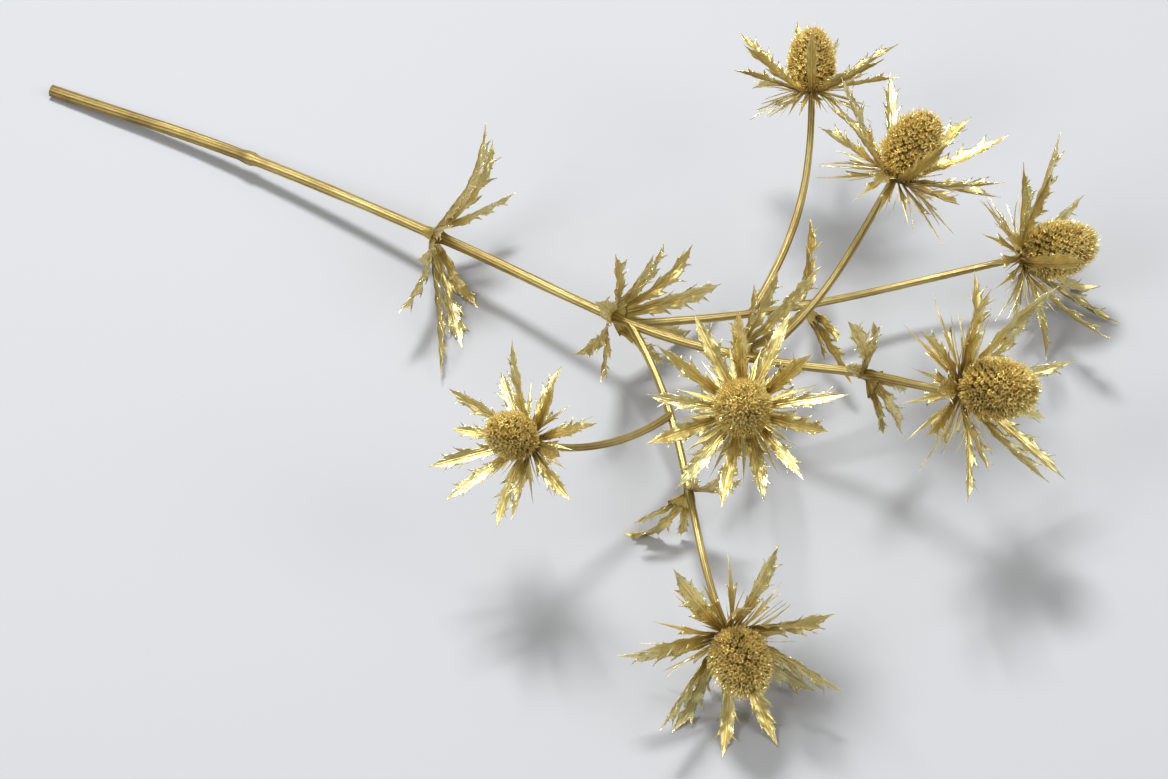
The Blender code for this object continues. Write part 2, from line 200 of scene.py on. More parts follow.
# Florets: radius and height of each ring of the bead, in millimetres, with its tone, dark at the foot and
# inside the mouth as painted shade.
FLORETS = 330
FLORET_SHAPES = 14
BEAD_SIDES = 8
BEAD_RINGS = (
    (0.80, -3.0, 0.0),
    (1.26, -1.7, 0.12),
    (1.38, -0.5, 0.44),
    (1.00, 0.35, 0.62),
    (0.48, 0.0, 0.10),
    (0.04, 0.20, 0.4),
)
SEPALS = 5
# Tones of a spike's points from foot to tip: painted shade at the foot, down among the florets.
SEPAL_TONES = (0.35, 0.35, 0.3, 0.95, 0.95, 0.85, 1.0)
BRACTLETS = 3
BRACTLET_TONES = (0.1, 0.1, 0.1, 0.8, 0.8, 0.7, 1.0)
BRACTLET_HALF_WIDTH = 0.28
FLORET_LIFT = 1.25
CORE_ROWS = 30
CORE_SIDES = 36
CORE_SHRINK = 0.96

# A leaf's sheath: half its thickness in millimetres, thinned at the rim, and how it swells and tucks in.
SHEATH_HALF = 0.22
SHEATH_THIN_RIM = 0.1
SHEATH_POINTS = 15
SHEATH_OVERLAP = 0.10
SHEATH_SWELL = 0.28 * MM
SHEATH_TUCK = 0.8 * MM

# Stems: ribs, the ring at each node, the thinner paint near the cut end, and the cut face.
STEM_RIBS = 10
BRANCH_RIBS = 8
POINTS_PER_RIB = 5
RING_SPACING = 2.0 * MM
RIB_DEPTH = 0.055
NODE_RING_HEIGHT = 0.10
NODE_RING_PLACE = 2.2 * MM
NODE_RING_WIDTH = 0.7 * MM
THIN_PAINT = 0.42
THIN_PAINT_REACH = 200 * MM
CAP_HOLE = 0.02
# Each ring of the cut face: its share of the radius, its depth in millimetres and its tone.
CUT_RINGS = ((0.86, 0.0, 0.55), (0.74, 0.25, 0.3), (0.4, 0.35, 0.45), (0.02, 0.1, 0.4))

# Gold paints: their colours from pale ones to the deep one, which is painted shade in recesses, and their
# finish.
Gold = namedtuple("Gold", "pale warm dark deep metallic roughness grain")
BRACT_GOLD = Gold(
    (0.92, 0.835, 0.43), (0.78, 0.60, 0.17), (0.36, 0.235, 0.045), (0.07, 0.038, 0.006), 0.90, 0.26, 1.9
)
CONE_GOLD = Gold(
    (1.0, 0.91, 0.50), (0.93, 0.74, 0.25), (0.42, 0.27, 0.05), (0.05, 0.027, 0.004), 0.62, 0.22, 1.9
)
STEM_GOLD = Gold(
    (0.66, 0.57, 0.26), (0.46, 0.35, 0.11), (0.26, 0.18, 0.05), (0.07, 0.045, 0.012), 0.74, 0.32, 1.6
)
FLOOR_COLOUR = (0.44, 0.45, 0.47)
FLOOR_ROUGHNESS = 0.9
FLOOR_HALF = 8
FLOOR_DEPTH = 0.2 * MM
SKY_STRENGTH = 0.60
SKY_HEIGHTS = (0.15, 0.95)
SKY_SHADES = (0.06, 1.0)

# Lights: place, size and power. They all point at the plant's middle.
LIGHT_TARGET = (0.05, 0, 0.05)
LIGHTS = {
    "key": ((-0.65, 0.6, 2.1), (0.5, 0.4), 52),
    "front": ((-0.8, -1.5, 1.8), (0.9, 0.9), 20),
    "side": ((1.5, 0.3, 1.4), (0.8, 1.1), 10),
}
LENS = 190
SENSOR = 36
VIEW_AZIMUTH = math.radians(-60)
VIEW_ELEVATION = math.radians(54)
VIEW_DISTANCE = 3.06
VIEW_TARGET = (0.061, -0.055, 0.05)
VIEW_END = 50


class Line:
    """A smooth centreline, with a radius at each end."""

    def __init__(self, points, start_radius, end_radius):
        self.points = points
        self.radii = (start_radius, end_radius)
        self.reach = [0.0]
        for before, after in zip(points, points[1:]):
            self.reach.append(self.reach[-1] + (after - before).length)
        self.length = self.reach[-1]

    def at(self, distance):
        """The point and the direction at this distance from the start."""
        distance = min(max(distance, 0.0), self.length)
        for k in range(1, len(self.points)):
            if distance <= self.reach[k]:
                break
        span = self.reach[k] - self.reach[k - 1]
        before, after = self.points[k - 1], self.points[k]
        return before.lerp(after, (distance - self.reach[k - 1]) / span), (after - before).normalized()

    def smooth_way(self, distance, span=4 * MM):
        """The direction at this distance, averaged over a short span."""
        ways = [self.at(distance + d)[1] for d in (-span, -span / 2, 0, span / 2, span)]
        return sum(ways, Vector()).normalized()

    def radius(self, distance):
        return self.radii[0] + (self.radii[1] - self.radii[0]) * distance / self.length


def place(point):
    """A point given in millimetres from the cut end's place on the surface."""
    return Vector((CUT_END_X, CUT_END_Y, 0)) + Vector(point) * MM


def spot(angle, radius, height):
    """A point given by its angle about Z, its distance from Z and its height."""
    return Vector((math.cos(angle) * radius, math.sin(angle) * radius, height))


def curve_through(points, steps=10):
    """A smooth curve through the points."""
    padded = [points[0] * 2 - points[1], *points, points[-1] * 2 - points[-2]]
    curve = []
    for a, b, c, d in zip(padded, padded[1:], padded[2:], padded[3:]):
        for k in range(steps):
            t = k / steps
            square = (2 * a - 5 * b + 4 * c - d) * t * t
            cube = (3 * b - a - 3 * c + d) * t**3
            curve.append(0.5 * (2 * b + (c - a) * t + square + cube))
    curve.append(points[-1].copy())
    return curve


def bow(start, start_way, end, end_way, steps=40):
    """A curve that leaves start and reaches end in the given directions."""
    pull = (end - start).length * BRANCH_PULL
    b, c = start + start_way * pull, end - end_way * pull
    curve = []
    for k in range(steps + 1):
        t = k / steps
        s = 1 - t
        curve.append(start * s**3 + b * (3 * s * s * t) + c * (3 * s * t * t) + end * t**3)
    return curve


def head_matrix(head):
    """The head's own frame: origin at its base, +Z along its axis."""
    azimuth, elevation = math.radians(head.azimuth), math.radians(head.elevation)
    turn = Matrix.Rotation(azimuth, 4, "Z") @ Matrix.Rotation(math.pi / 2 - elevation, 4, "Y")
    return Matrix.Translation(place(head.base)) @ turn @ Matrix.Rotation(math.radians(head.roll), 4, "Z")


def head_axis(head):
    return (head_matrix(head).to_3x3() @ Vector((0, 0, 1))).normalized()


def stem_lines():
    """The centrelines of the main stem and of each branch, by name."""
    points = curve_through([place(p) for p in STEM_LINE])
    lines = {"stem": Line(points, STEM_RADIUS_CUT, STEM_RADIUS_TOP)}
    for head in HEADS:
        if head.fork is None:
            continue
        start, way = lines[head.parent].at(head.fork * MM)
        end = place(head.base)
        out = (end - start).normalized()
        curve = bow(start, (way * FORK_LEAN + out).normalized(), end, head_axis(head))
        lines[head.name] = Line(curve, BRANCH_RADIUS_FORK, BRANCH_RADIUS_TOP)
    return lines


def blade_frames(root, out, up, blade):
    """Point, direction, side and normal at even steps along a blade, which bends to lie on the surface."""
    across = up.cross(out).normalized()
    point = root.copy()
    step = blade.length / BLADE_STEPS
    frames = []
    for k in range(BLADE_STEPS + 1):
        share = k / BLADE_STEPS
        rise = blade.rise + blade.bend * share
        sway = blade.sway * share
        flat = out * math.cos(sway) + across * math.sin(sway)
        way = flat * math.cos(rise) + up * math.sin(rise)
        side = across * math.cos(sway) - out * math.sin(sway)
        free = min(max(point.z / FLOOR_REACH, 0.0), 1.0)
        if way.z < 0:
            way.z *= max(free, FLOOR_LEAST) if free > 0 else 0.0
            way.normalize()
        side = (side - way * side.dot(way)).normalized()
        side = Matrix.Rotation(blade.twist * share * free, 3, way) @ side
        side.z *= free
        side = (side - way * side.dot(way)).normalized()
        frames.append((point.copy(), way, side, way.cross(side)))
        point = point + way * step
        point.z = max(point.z, 0.0)
    return frames


def drawn_angle(draw, low, high):
    """A random angle between two that are given in degrees."""
    return math.radians(draw.uniform(low, high))


def bract_blade(draw, size, tall):
    """One of the collar's large bracts: tall ones rise more and are longer."""
    length = BRACT_LENGTH * size * (draw.uniform(0.93, 1.07) if tall else draw.uniform(0.76, 0.92))
    width = BRACT_HALF_WIDTH * size * draw.uniform(0.85, 1.12)
    teeth = []
    for notch, core, reach in BRACT_TEETH:
        shift = draw.uniform(-0.025, 0.025)
        left, right = (width * reach * draw.uniform(0.85, 1.15) for _ in range(2))
        teeth.append(Tooth(notch + shift, width * core, left, right, draw.uniform(0.03, 0.07)))
    rise = drawn_angle(draw, 24, 38) if tall else drawn_angle(draw, 6, 20)
    bend = drawn_angle(draw, -12, 30) if tall else drawn_angle(draw, -26, 12)
    sway, twist = drawn_angle(draw, -8, 8), drawn_angle(draw, -30, 30)
    return Blade(length, width, rise, bend, sway, twist, 0.30, teeth)


def spur_blade(draw, size):
    """One of the narrow spiny bracts under the collar."""
    length = SPUR_LENGTH * size * draw.uniform(0.75, 1.2)
    width = SPUR_HALF_WIDTH * size
    reach = width * draw.uniform(1.7, 2.3)
    tooth = Tooth(draw.uniform(0.42, 0.55), width * 0.7, reach, reach, 0.08)
    rise, bend = drawn_angle(draw, -24, -12), drawn_angle(draw, -26, 6)
    return Blade(length, width, rise, bend, drawn_angle(draw, -8, 8), 0.0, 0.2, [tooth])


def needle_blade(look, size):
    """One of the fine needles between the bracts."""
    length = look.uniform(13, 33) * MM * size
    rise, bend = drawn_angle(look, -36, 30), drawn_angle(look, -26, 26)
    width = look.uniform(0.40, 0.75) * MM
    return Blade(length, width, rise, bend, drawn_angle(look, -12, 12), 0.0, 0.2, [])


def lobe_blade(draw, length, share):
    """One lobe of a leaf: share is 0 for the middle lobe and 1 for the outermost."""
    length = length * MM * (1 - 0.42 * share) * draw.uniform(0.9, 1.08)
    width = LEAF_HALF_WIDTH * (1 - 0.25 * share) * draw.uniform(0.9, 1.1)
    width = width * min(length / LOBE_USUAL_LENGTH, 1) ** 0.5
    teeth = []
    for notch, core, reach in LOBE_TEETH:
        left, right = (width * reach * draw.uniform(0.9, 1.15) for _ in range(2))
        teeth.append(Tooth(notch, width * core, left, right, draw.uniform(0.03, 0.06)))
    bend = drawn_angle(draw, -38, 8)
    sway, twist = drawn_angle(draw, -7, 7), drawn_angle(draw, -26, 26)
    return Blade(length, width, 0.0, bend, sway, twist, 0.28, teeth)


def add_object(name, data):
    made = bpy.data.objects.new(name, data)
    bpy.context.scene.collection.objects.link(made)
    return made


class Mesh:
    """Gathers points, faces and the shading values of one piece."""

    def __init__(self):
        self.points, self.faces, self.values, self.smooth = [], [], [], []
        self.count = 0

    def add(self, points, faces, tone, tint=0.0, grain=(0, 0), smooth=True):
        """tone: paint and painted shade, from 0 in a recess to 1. tint: from warm to pale. grain: place
        along and across.
        """
        points = np.asarray(points, float)
        tone, tint = (np.broadcast_to(np.asarray(item, float), len(points)) for item in (tone, tint))
        grain = np.broadcast_to(np.asarray(grain, float), (len(points), 2))
        self.points.append(points)
        self.values.append(np.column_stack([tone, tint, grain]))
        self.faces.append([np.asarray(block) + self.count for block in faces])
        self.smooth += [smooth] * sum(len(block) for block in faces)
        self.count += len(points)

    def make(self, name, node, paint):
        """Makes the finished piece, which stands for this CAD node."""
        points = np.concatenate(self.points)
        values = np.concatenate(self.values)
        faces = [row for part in self.faces for block in part for row in block.tolist()]
        mesh = bpy.data.meshes.new(name)
        mesh.from_pydata(points.tolist(), [], faces)
        for k, label in enumerate(("tone", "tint", "along", "across")):
            held = mesh.attributes.new(label, "FLOAT", "POINT")
            held.data.foreach_set("value", values[:, k].astype(np.float32))
        mesh.polygons.foreach_set("use_smooth", self.smooth)
        mesh.materials.append(paint)
        mesh.update()
        piece = add_object(name, mesh)
        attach(piece, "root")
        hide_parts(node)


def grid_faces(rows, columns, wrap=False):
    """Quads over a grid of points that is stored row by row."""
    c = np.arange(columns if wrap else columns - 1)
    after = (c + 1) % columns
    r = np.arange(rows - 1)[:, None] * columns
    quads = np.stack([r + c, r + after, r + columns + after, r + columns + c], axis=-1)
    return quads.reshape(-1, 4)


def sheet_faces(upper, lower):
    """Quads over both sides of a thin sheet, whose points are numbered in rows on each side."""
    faces = []
    for sheet in (upper, lower):
        corners = [sheet[:-1, :-1], sheet[:-1, 1:], sheet[1:, 1:], sheet[1:, :-1]]
        faces.append(np.stack(corners, axis=-1).reshape(-1, 4))
    return [faces[0], faces[1][:, ::-1]]


def ring_points(angles, radius, height):
    """Points at these angles about Z, at one height."""
    heights = np.full(len(angles), height)
    return np.stack([np.cos(angles) * radius, np.sin(angles) * radius, heights], axis=-1)


def full_turn(sides):
    """Evenly spaced angles round a ring."""
    return np.linspace(0, 2 * math.pi, sides, endpoint=False)


def unit(vectors):
    return vectors / np.linalg.norm(vectors, axis=-1, keepdims=True)


def bell(offset, width):
    """A smooth hump of height 1 and this width."""
    return np.exp(-((offset / width) ** 2))


def edge_path(blade, base_half, right, spans, spine):
    """A blade's edge as rows: place along the midrib and along the edge, core half width and half width.

    spans: steps out to a tooth's tip and back to its notch. spine: how far a spine stands out.
    """
    rows = []
    out, back = spans
    marks = [k / out for k in range(out + 1)]
    spine_step = out // 2 + (1 if right else 0)
    if spine:
        marks[spine_step - 1] = marks[spine_step] - SPINE_FOOT[0] / out
        marks[spine_step + 1] = marks[spine_step] + SPINE_FOOT[1] / out
    last_notch, last_core = 0.0, base_half
    for tooth in blade.teeth:
        reach = tooth.right if right else tooth.left
        tip = tooth.notch + tooth.lean
        for k in range(out + back):
            share = marks[k] * out / (out + back) if k <= out else k / (out + back)
            middle = last_notch + (tooth.notch - last_notch) * share
            core = last_core + (tooth.core - last_core) * (3 * share**2 - 2 * share**3)
            if k <= out:
                along = last_notch + (tip - last_notch) * marks[k]
                base = last_core + (tooth.core - last_core) * marks[k]
                half = base + (reach - base) * marks[k] ** 2.3
            else:
                t = (k - out) / back
                along = tip + (tooth.notch - tip) * t
                half = reach + (tooth.core - reach) * (1 - (1 - t) ** 2.0)
            if spine and k == spine_step:
                half, along = half + spine, along + SPINE_LEAN
            if spine and k == out:
                half, along = half + spine * TOOTH_SPINE, along + TOOTH_SPINE_LEAN
            rows.append((middle, along, core, half))
        last_notch, last_core = tooth.notch, tooth.core
    final = sum(spans) + 3
    for k in range(final + 1):
        t = k / final
        half = last_core * (1 - t) ** 1.25 * (1 + 0.35 * t * (1 - t))
        along = last_notch + (1 - last_notch) * t
        pricked = spine * TIP_SPINE if k == (4 if right else 5) else 0
        rows.append((along, along + pricked * TIP_SPINE_LEAN, half, half + pricked))
    return np.array(rows)


def blade_grid(blade, base_half, style):
    """A blade's points: share of its length, offset from the midrib, and reach, 1 at both edges."""
    columns = style.columns
    spine = blade.half_width * 0.14 + SPINE_LENGTH if style.spiny else 0.0
    halves = []
    for right in (False, True):
        path = edge_path(blade, base_half, right, style.spans, spine)
        middle, along, core, half = (path[:, k][:, None] for k in range(4))
        share = middle + (along - middle) * columns**2
        offset = core * columns + (half - core) * columns**3.2
        halves.append((share, offset))
    (left_share, left_offset), (right_share, right_offset) = halves
    share = np.hstack([left_share[:, ::-1], right_share[:, 1:]])
    offset = np.hstack([-left_offset[:, ::-1], right_offset[:, 1:]])
    reach = np.concatenate([columns[::-1], columns[1:]])[None, :] * np.ones_like(share)
    share[0] += style.start
    return share, offset, reach


def blade_veins(blade, share, offset):
    """Veins that run slantwise from the midrib to each tooth, 1 on a vein."""
    veins = np.zeros_like(share)
    last = 0.02
    for tooth in blade.teeth:
        tip = tooth.notch + tooth.lean
        for sign, far in ((-1, tooth.left), (1, tooth.right)):
            run = np.clip((share - last) / (tip - last), 0, 1)
            veins += bell(offset * sign - far * run**1.3, VEIN_WIDTH) * (run > 0.03) * (run < 1)
        last = tooth.notch - 0.10
    return np.clip(veins, 0, 1)


def ruffle(draw, along, across):
    """Gentle uneven waves of height 1 over a blade, for places on it in millimetres."""
    wave = np.zeros(along.shape)
    for scale, weight in RUFFLES:
        phase_along, phase_across = draw.uniform(0, CYCLE), draw.uniform(0, CYCLE)
        slant = draw.uniform(-0.9, 0.9)
        run = (along + across * slant * 2) * CYCLE / scale + phase_along
        wave = wave + weight * np.sin(run) * np.cos(across * CYCLE / (scale * 0.8) + phase_across)
    return wave


def along_run(frames, share):
    """The point, direction, side and normal of a blade's run at each share of its length."""
    steps = np.arange(len(frames)) / BLADE_STEPS
    flat = np.clip(share, 0, 1).ravel()
    found = []
    for k in range(4):
        held = np.array([list(frame_here[k]) for frame_here in frames])
        rows = np.stack([np.interp(flat, steps, held[:, axis]) for axis in range(3)], axis=-1)
        found.append(rows.reshape(*share.shape, 3))
    return found


def fine_blade(mesh, draw, run, blade, base_half, style):
    """A veined, toothed blade on its solid's run. run: its root, its way out and its way up."""
    share, offset, reach = blade_grid(blade, base_half, style)
    rows, columns = share.shape
    veins = blade_veins(blade, share, offset)
    width = max(blade.half_width, 0.4 * MM)
    rel = np.clip(np.abs(offset) / width, 0, 1.4)
    settle = np.clip(share / 0.12, 0, 1)
    taper = np.clip((1 - share) / 0.25, 0, 1)
    ridge = bell(offset, RIDGE_WIDTH) * taper
    channel = bell(offset, CHANNEL_WIDTH) * taper
    pleat = np.cos(offset / (width * PLEAT_SHARE) * CYCLE)
    along, across = share * blade.length / MM, offset / MM

    # The relief.
    lift = blade.fold * np.abs(offset) * settle
    lift += 0.16 * np.abs(offset) * rel * settle
    lift += (RIDGE_HEIGHT * ridge - CHANNEL_DEPTH * channel) * MM * style.waves
    lift += PLEAT_HEIGHT * pleat * np.clip(rel * 2, 0, 1) * taper * settle * style.waves
    waves = RUFFLE_HEIGHT * style.waves * ruffle(draw, along, across)
    lift += waves * settle * np.clip(taper + 0.2, 0, 1)
    lift += VEIN_HEIGHT * veins * style.waves
    wave_length, skew, phase = draw.uniform(11, 16), draw.uniform(0, 3), draw.uniform(0, 6)
    beat = np.sin(along * CYCLE / wave_length + np.sign(offset) * skew + phase)
    edge_wave = EDGE_WAVE_HEIGHT * style.waves * reach**2 * taper * settle * beat
    lift += edge_wave * min(width / EDGE_WAVE_WIDTH, 1)
    body = style.thickness * (0.34 + 0.66 * (1 - reach**1.5)) * (0.45 + 0.55 * taper)
    body += RIB_HEIGHT * bell(offset, RIB_WIDTH) * (0.3 + 0.7 * taper) * min(width / RIB_FULL_WIDTH, 1)

    # Both sides of the sheet, which keep above the surface and share their rim.
    point, way, side, normal = along_run(blade_frames(*run, blade), share)
    point += way * (np.minimum(share, 0) * blade.length)[..., None]
    side, normal = unit(side), unit(normal)
    low_room = np.clip(point[..., 2] / FLOOR_REACH, 0.25, 1)
    lift = np.where(normal[..., 2] * lift < 0, lift * low_room, lift)
    top = point + side * offset[..., None] + normal * (lift + body * 0.35)[..., None]
    under = point + side * offset[..., None] + normal * (lift - body * 0.65)[..., None]
    upright = normal[..., 2] >= 0
    top[..., 2] = np.maximum(top[..., 2], np.where(upright, LEAST_HEIGHT, 0.0))
    under[..., 2] = np.maximum(under[..., 2], np.where(upright, 0.0, LEAST_HEIGHT))
    rim = (top + under) / 2
    top[:, 0], top[:, -1], top[-1] = rim[:, 0], rim[:, -1], rim[-1]
    upper = np.arange(rows * columns).reshape(rows, columns)
    lower = upper + rows * columns
    lower[:, 0], lower[:, -1], lower[-1] = upper[:, 0], upper[:, -1], upper[-1]

    # The tone: painted highlight on the raised midrib, painted shade in its channel and in the furrows,
    # paler veins and edges, darker near the root.
    furrow = 0.5 - 0.5 * pleat
    tone = 0.80 + 0.20 * reach**3 + 0.16 * veins + 0.36 * ridge - 0.30 * channel
    tone -= 0.14 * furrow * (1 - reach)
    tone += 0.12 * (share - 0.5)
    tone *= np.clip(0.62 + share / 0.22 * 0.38, 0.62, 1)
    tone += draw.uniform(-0.20, 0.10)
    tint = np.clip((share - 0.05) / 0.5, 0, 1) * 0.80 + 0.35 * reach**3 + 0.45 * ridge
    # The underside gets painted shade: darker and warmer than the top.
    tones = np.concatenate([tone.ravel(), tone.ravel() * 0.68 - 0.06])
    tints = np.concatenate([tint.ravel(), tint.ravel() * 0.45])
    grain = np.stack([along, across], axis=-1).reshape(-1, 2)
    points = np.concatenate([top.reshape(-1, 3), under.reshape(-1, 3)])
    grain = np.concatenate([grain, grain])
    mesh.add(points, sheet_faces(upper, lower), np.clip(tones, 0, 1), tints, grain)


def add_drum(mesh, head):
    """The drum that the bracts grow from, ribbed by their bases."""
    matrix = head_matrix(head)
    angles = full_turn(BRACTS * DRUM_POINTS)
    bases = 1 - np.abs(np.sin(angles * BRACTS / 2)) ** 1.5
    rings = []
    for radius, height in DRUM_RINGS:
        wave = 1 - 0.17 * (1 - bases) * np.clip((radius - 2.2) / 2.5, 0, 1) * (height < 4.5)
        rings.append(ring_points(angles, radius * wave, height))
    points = np.concatenate(rings) * MM * head.size
    points = points @ np.array(matrix.to_3x3()).T + np.array(matrix.translation)
    # Painted shade: darker between the bracts' bases.
    tones = np.tile(0.18 + 0.62 * bases, len(DRUM_RINGS))
    mesh.add(points, [grid_faces(len(DRUM_RINGS), len(angles), True)], tones, 0.15)


def collar_face(head, angle, half_angle, tier):
    """The middle and half width of a face of the solid's collar, which a bract or a spur grows from."""
    corners = []
    for radius, height in COLLAR_RINGS[tier : tier + 2]:
        for edge in (angle - half_angle, angle + half_angle):
            corners.append(spot(edge, radius, height) * MM * head.size)
    return head_matrix(head) @ (sum(corners, Vector()) / 4), (corners[3] - corners[2]).length / 2


def build_collar(head, paint):
    """The bracts of a head: large toothed ones, narrow ones under them, and needles between."""
    draw = random.Random(SEED * 100 + HEADS.index(head))
    look = random.Random(SEED * 7000 + HEADS.index(head))
    matrix = head_matrix(head)
    turn = matrix.to_3x3()
    up = turn @ Vector((0, 0, 1))
    mesh = Mesh()
    add_drum(mesh, head)
    for number in range(BRACTS):
        angle = number * BRACT_STEP
        root, half = collar_face(head, angle, BRACT_FACE_HALF, 2)
        bract = bract_blade(draw, head.size, number % 2 == 0)
        fine_blade(mesh, look, (root, turn @ spot(angle, 1, 0), up), bract, half * 1.1, BRACT_STYLE)
        angle += BRACT_STEP / 2
        root, half = collar_face(head, angle, BRACT_STEP / 2 - BRACT_FACE_HALF, 1)
        spur = spur_blade(draw, head.size)
        fine_blade(mesh, look, (root, turn @ spot(angle, 1, 0), up), spur, half * 1.25, SPUR_STYLE)
    for number in range(BRACTS * NEEDLES_PER_BRACT):
        angle = (number + look.uniform(0.1, 0.9)) * BRACT_STEP / NEEDLES_PER_BRACT
        root = matrix @ (spot(angle, NEEDLE_ROOT_RADIUS, look.uniform(1.6, 4.0)) * MM * head.size)
        needle = needle_blade(look, head.size)
        run = (root, turn @ spot(angle, 1, 0), up)
        fine_blade(mesh, look, run, needle, needle.half_width, NEEDLE_STYLE)
    mesh.make(head.name + "_bract_star", head.name + "_bracts", paint)


def cone_radius(height):
    """The cone's radius at a height above its widest place, for a head of size 1."""
    reach = CONE_TOP if height > 0 else CONE_FOOT_ROUND
    return CONE_RADIUS * math.sqrt(max(1 - (height / reach) ** 2, 0.0))


def cone_normal(height, angle):
    """The way out from the cone's surface."""
    reach = CONE_TOP if height > 0 else CONE_FOOT_ROUND
    slope = height / reach**2 * CONE_RADIUS**2 / max(cone_radius(height), 1e-4)
    return unit(np.array([math.cos(angle), math.sin(angle), slope]))


def cone_spiral(count, slices=400):
    """Places spread evenly over the cone in the spiral that florets grow in: height and angle."""
    heights = [-CONE_FOOT + (CONE_TOP + CONE_FOOT) * k / slices for k in range(slices + 1)]
    area = [0.0]
    for low, high in zip(heights, heights[1:]):
        slant = math.hypot(high - low, cone_radius(high) - cone_radius(low))
        area.append(area[-1] + slant * (cone_radius(low) + cone_radius(high)))
    golden = math.pi * (3 - math.sqrt(5))
    places, k = [], 1
    for i in range(count):
        wanted = area[-1] * (i + 0.5) / count
        while area[k] < wanted:
            k += 1
        share = (wanted - area[k - 1]) / (area[k] - area[k - 1])
        places.append((heights[k - 1] + (heights[k] - heights[k - 1]) * share, i * golden))
    return places


def spike(angle, places, width, tones):
    """A three-sided spike through three places, each a distance from the axis and a height."""
    out = np.array([math.cos(angle), math.sin(angle), 0])
    foot, middle, tip = (out * radius + [0, 0, height] for radius, height in places)
    side = unit(np.cross(tip - foot, -out)) * width
    ridge = out * width * 0.8
    points = [foot + side, foot - side, foot + ridge]
    points += [middle + side * 0.7, middle - side * 0.7, middle + ridge * 0.7, tip]
    quads = np.array([(0, 1, 4, 3), (1, 2, 5, 4), (2, 0, 3, 5)])
    tips = np.array([(3, 4, 6), (4, 5, 6), (5, 3, 6)])
    return np.array(points), [quads, tips], np.array(tones), False


def bead():
    """The body of a floret, hollow at its mouth."""
    points = [ring_points(full_turn(BEAD_SIDES), radius, height) for radius, height, _ in BEAD_RINGS]
    tones = np.repeat([tone for _, _, tone in BEAD_RINGS], BEAD_SIDES)
    return np.concatenate(points), [grid_faces(len(BEAD_RINGS), BEAD_SIDES, True)], tones, True


def sepal(look, number):
    """One of the spiny sepals round a floret's mouth."""
    angle = 2 * math.pi * number / SEPALS + look.uniform(-0.2, 0.2)
    flare, tall = look.uniform(-0.2, 0.95), look.uniform(1.3, 2.7)
    places = (1.05, -0.9), (1.28 + flare * 0.35, tall * 0.42), (1.15 + flare, tall)
    return spike(angle, places, look.uniform(0.50, 0.68), SEPAL_TONES)


def bractlet(look):
    """One of the spiny bractlets that stand under a floret."""
    angle = math.pi + look.uniform(-1.1, 1.1)
    tall, flare = look.uniform(2.0, 4.4), look.uniform(-0.4, 1.0)
    places = (1.7, -2.4), (1.95 + flare * 0.4, 0.4), (1.9 + flare, tall)
    return spike(angle, places, BRACTLET_HALF_WIDTH, BRACTLET_TONES)


def floret_shape(look):
    """One floret in millimetres, opening towards +Z: a bead, its sepals and its bractlets."""
    sepals = [sepal(look, number) for number in range(SEPALS)]
    bractlets = [bractlet(look) for _ in range(BRACTLETS)]
    return [bead(), *sepals, *bractlets]


def floret_turn(look, normal, angle):
    """The turn that points a floret out and a little up the cone, spun about its axis."""
    lean = unit(normal * 0.86 + [0, 0, 0.42] + [look.gauss(0, 0.07) for _ in range(3)])
    side = unit(np.cross([-math.sin(angle), math.cos(angle), 0], lean))
    basis = np.stack([side, np.cross(lean, side), lean], axis=-1)
    spin = look.uniform(-1.2, 1.2)
    cosine, sine = math.cos(spin), math.sin(spin)
    return basis @ np.array([[cosine, -sine, 0], [sine, cosine, 0], [0, 0, 1]]), lean


def build_cone(head, paint):
    """The cone: a core darkened as painted shade between the florets, set with open florets."""
    look = random.Random(SEED * 9000 + HEADS.index(head))
    matrix = head_matrix(head)
    turn = np.array(matrix.to_3x3())
    foot = Vector((0, 0, COLLAR_TOP + CONE_FOOT)) * head.size + Vector((0, 0, GAP))
    origin = np.array(matrix @ foot)
    core = 1 - FLORET_HEIGHT / CONE_RADIUS
    mesh = Mesh()
    heights = np.linspace(-CONE_FOOT / core * 0.999, CONE_TOP * 0.9999, CORE_ROWS)
    rings = []
    for height in heights:
        radius = cone_radius(height) * core * CORE_SHRINK
        rings.append(ring_points(full_turn(CORE_SIDES), radius, height * core))
    points = np.concatenate(rings) * head.size
    # Painted shade: the core is dark between the florets, a little lighter near the top.
    tones = 0.16 + 0.36 * np.clip(heights / CONE_TOP, 0, 1) ** 3
    faces = [grid_faces(CORE_ROWS, CORE_SIDES, True)]
    mesh.add(points @ turn.T + origin, faces, np.repeat(tones, CORE_SIDES))

    shapes = [floret_shape(look) for _ in range(FLORET_SHAPES)]
    scale = head.size**0.5
    for height, angle in cone_spiral(int(FLORETS * head.size**1.1)):
        if height > CONE_TOP * 0.995:
            continue
        normal = cone_normal(height, angle)
        facing, lean = floret_turn(look, normal, angle)
        shape = look.choice(shapes)
        near_top = max(height / CONE_TOP, 0)
        mouth = look.uniform(0.84, 1.06) if look.random() < 0.85 else look.uniform(0.66, 0.80)
        mouth *= 1 + 0.22 * near_top**3
        fit = np.array([mouth, mouth, look.uniform(0.85, 1.15)]) * MM * scale
        radius = cone_radius(height)
        base = np.array([radius * math.cos(angle), radius * math.sin(angle), height])
        base = base * core * head.size
        base += np.cross(normal, [look.gauss(0, 0.32 * MM) for _ in range(3)])
        base += normal * FLORET_LIFT * MM * scale
        bright = look.uniform(0.66, 1.05) + 0.12 * near_top**2
        base += lean * look.gauss(0, 0.30 * MM)
        for points, faces, tones, smooth in shape:
            points = ((points * fit) @ facing.T + base) @ turn.T + origin
            mesh.add(points, faces, tones * bright, tones**2 * bright, smooth=smooth)
    mesh.make(head.name + "_florets", head.name + "_cone", paint)


